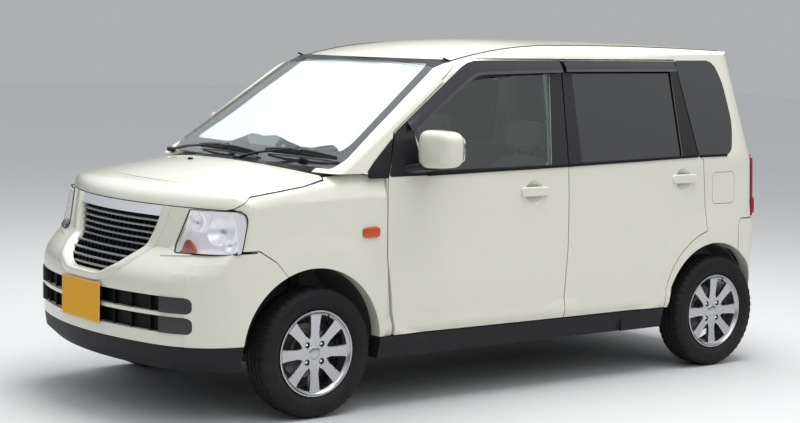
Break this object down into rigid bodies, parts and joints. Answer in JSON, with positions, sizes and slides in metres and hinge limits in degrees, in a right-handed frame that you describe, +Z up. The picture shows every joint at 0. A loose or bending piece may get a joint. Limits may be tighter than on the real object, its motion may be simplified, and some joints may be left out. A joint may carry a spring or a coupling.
{
  "type": "kei car",
  "caption": "Small five-door city car with opening doors, bonnet, tailgate and fuel lid, steered front wheels and free-rolling wheels.",
  "frame": {"origin": "on the ground, under the middle of the car's length and width", "axes": "+X forward, +Y to the car's left, +Z up"},
  "size_m": [3.395, 1.866, 1.5497],
  "materials": {
    "paint": "gloss",
    "floor_paint": "satin",
    "clear_glass": "gloss",
    "dark_glass": "gloss",
    "black_plastic": "matte",
    "cabin_plastic": "matte",
    "chrome": "polished",
    "lamp_lens": "gloss",
    "red_lens": "gloss",
    "alloy": "satin",
    "tyre": "matte",
    "engine_metal": "cast",
    "chassis_metal": "satin",
    "seat_cloth": "woven"
  },
  "bodies": {
    "body": {"body_side_left": "paint", "body_side_right": "paint", "cowl": "black_plastic", "dashboard": "cabin_plastic", "engine_block": "engine_metal", "fenders": "paint", "fixed_glass": "clear_glass", "floor_pan": "floor_paint", "front_bumper": "paint", "front_suspension": "chassis_metal", "grille": "black_plastic", "grille_bar": "chrome", "headlamps": "lamp_lens", "lower_trim": "black_plastic", "rear_axle": "chassis_metal", "rear_bumper": "paint", "roof_panel": "paint", "seats": "seat_cloth", "tail_lamps": "red_lens", "underbody": "chassis_metal"},
    "knuckle_left": {"knuckle_left": "chassis_metal"},
    "knuckle_right": {"knuckle_right": "chassis_metal"},
    "wheel_front_left": {"tyre_front_left": "tyre", "rim_front_left": "alloy"},
    "wheel_front_right": {"tyre_front_right": "tyre", "rim_front_right": "alloy"},
    "wheel_rear_left": {"tyre_rear_left": "tyre", "rim_rear_left": "alloy"},
    "wheel_rear_right": {"tyre_rear_right": "tyre", "rim_rear_right": "alloy"},
    "steering_wheel": {"steering_wheel": "cabin_plastic"},
    "door_front_left": {"door_front_left": "paint", "glass_front_left": "clear_glass", "mirror_left": "paint"},
    "door_front_right": {"door_front_right": "paint", "glass_front_right": "clear_glass", "mirror_right": "paint"},
    "door_rear_left": {"door_rear_left": "paint", "glass_rear_left": "dark_glass"},
    "door_rear_right": {"door_rear_right": "paint", "glass_rear_right": "dark_glass"},
    "bonnet": {"bonnet": "paint"},
    "tailgate": {"tailgate": "paint", "tailgate_glass": "dark_glass"},
    "fuel_lid": {"fuel_lid": "paint"}
  },
  "joints": [
    {"name": "steer_left", "type": "hinge", "parent": "body", "child": "knuckle_left", "pos_m": [1.0135, 0.575, 0.19], "axis": [-0.0389, -0.1892, 0.9812], "range_deg": [-35, 35]},
    {"name": "steer_right", "type": "hinge", "parent": "body", "child": "knuckle_right", "pos_m": [1.0135, -0.575, 0.19], "axis": [-0.0389, 0.1892, 0.9812], "range_deg": [-35, 35]},
    {"name": "spin_front_left", "type": "hinge", "parent": "knuckle_left", "child": "wheel_front_left", "pos_m": [1.0135, 0.6475, 0.266], "axis": [0, 1, 0], "continuous": true},
    {"name": "spin_front_right", "type": "hinge", "parent": "knuckle_right", "child": "wheel_front_right", "pos_m": [1.0135, -0.6475, 0.266], "axis": [0, 1, 0], "continuous": true},
    {"name": "spin_rear_left", "type": "hinge", "parent": "body", "child": "wheel_rear_left", "pos_m": [-1.3265, 0.6475, 0.266], "axis": [0, 1, 0], "continuous": true},
    {"name": "spin_rear_right", "type": "hinge", "parent": "body", "child": "wheel_rear_right", "pos_m": [-1.3265, -0.6475, 0.266], "axis": [0, 1, 0], "continuous": true},
    {"name": "steering_turn", "type": "hinge", "parent": "body", "child": "steering_wheel", "pos_m": [0.395, -0.335, 0.905], "axis": [-0.8829, 0, 0.4695], "range_deg": [-560, 560]},
    {"name": "door_front_left_hinge", "type": "hinge", "parent": "body", "child": "door_front_left", "pos_m": [0.68, 0.74, 0.6], "axis": [0, 0, -1], "range_deg": [0, 65]},
    {"name": "door_front_right_hinge", "type": "hinge", "parent": "body", "child": "door_front_right", "pos_m": [0.68, -0.74, 0.6], "axis": [0, 0, 1], "range_deg": [0, 65]},
    {"name": "door_rear_left_hinge", "type": "hinge", "parent": "body", "child": "door_rear_left", "pos_m": [-0.331, 0.734, 0.6], "axis": [0, 0, -1], "range_deg": [0, 65]},
    {"name": "door_rear_right_hinge", "type": "hinge", "parent": "body", "child": "door_rear_right", "pos_m": [-0.331, -0.734, 0.6], "axis": [0, 0, 1], "range_deg": [0, 65]},
    {"name": "bonnet_hinge", "type": "hinge", "parent": "body", "child": "bonnet", "pos_m": [0.946, 0, 1], "axis": [0, -1, 0], "range_deg": [0, 50]},
    {"name": "tailgate_hinge", "type": "hinge", "parent": "body", "child": "tailgate", "pos_m": [-1.484, 0, 1.541], "axis": [0, 1, 0], "range_deg": [0, 85]},
    {"name": "fuel_lid_hinge", "type": "hinge", "parent": "body", "child": "fuel_lid", "pos_m": [-1.29, 0.7015, 0.862], "axis": [0, 0, -1], "range_deg": [0, 90]}
  ],
  "couplings": [
    {"joint": "steer_right", "follows": "steer_left", "ratio": 1},
    {"joint": "steering_turn", "follows": "steer_left", "ratio": 16}
  ]
}
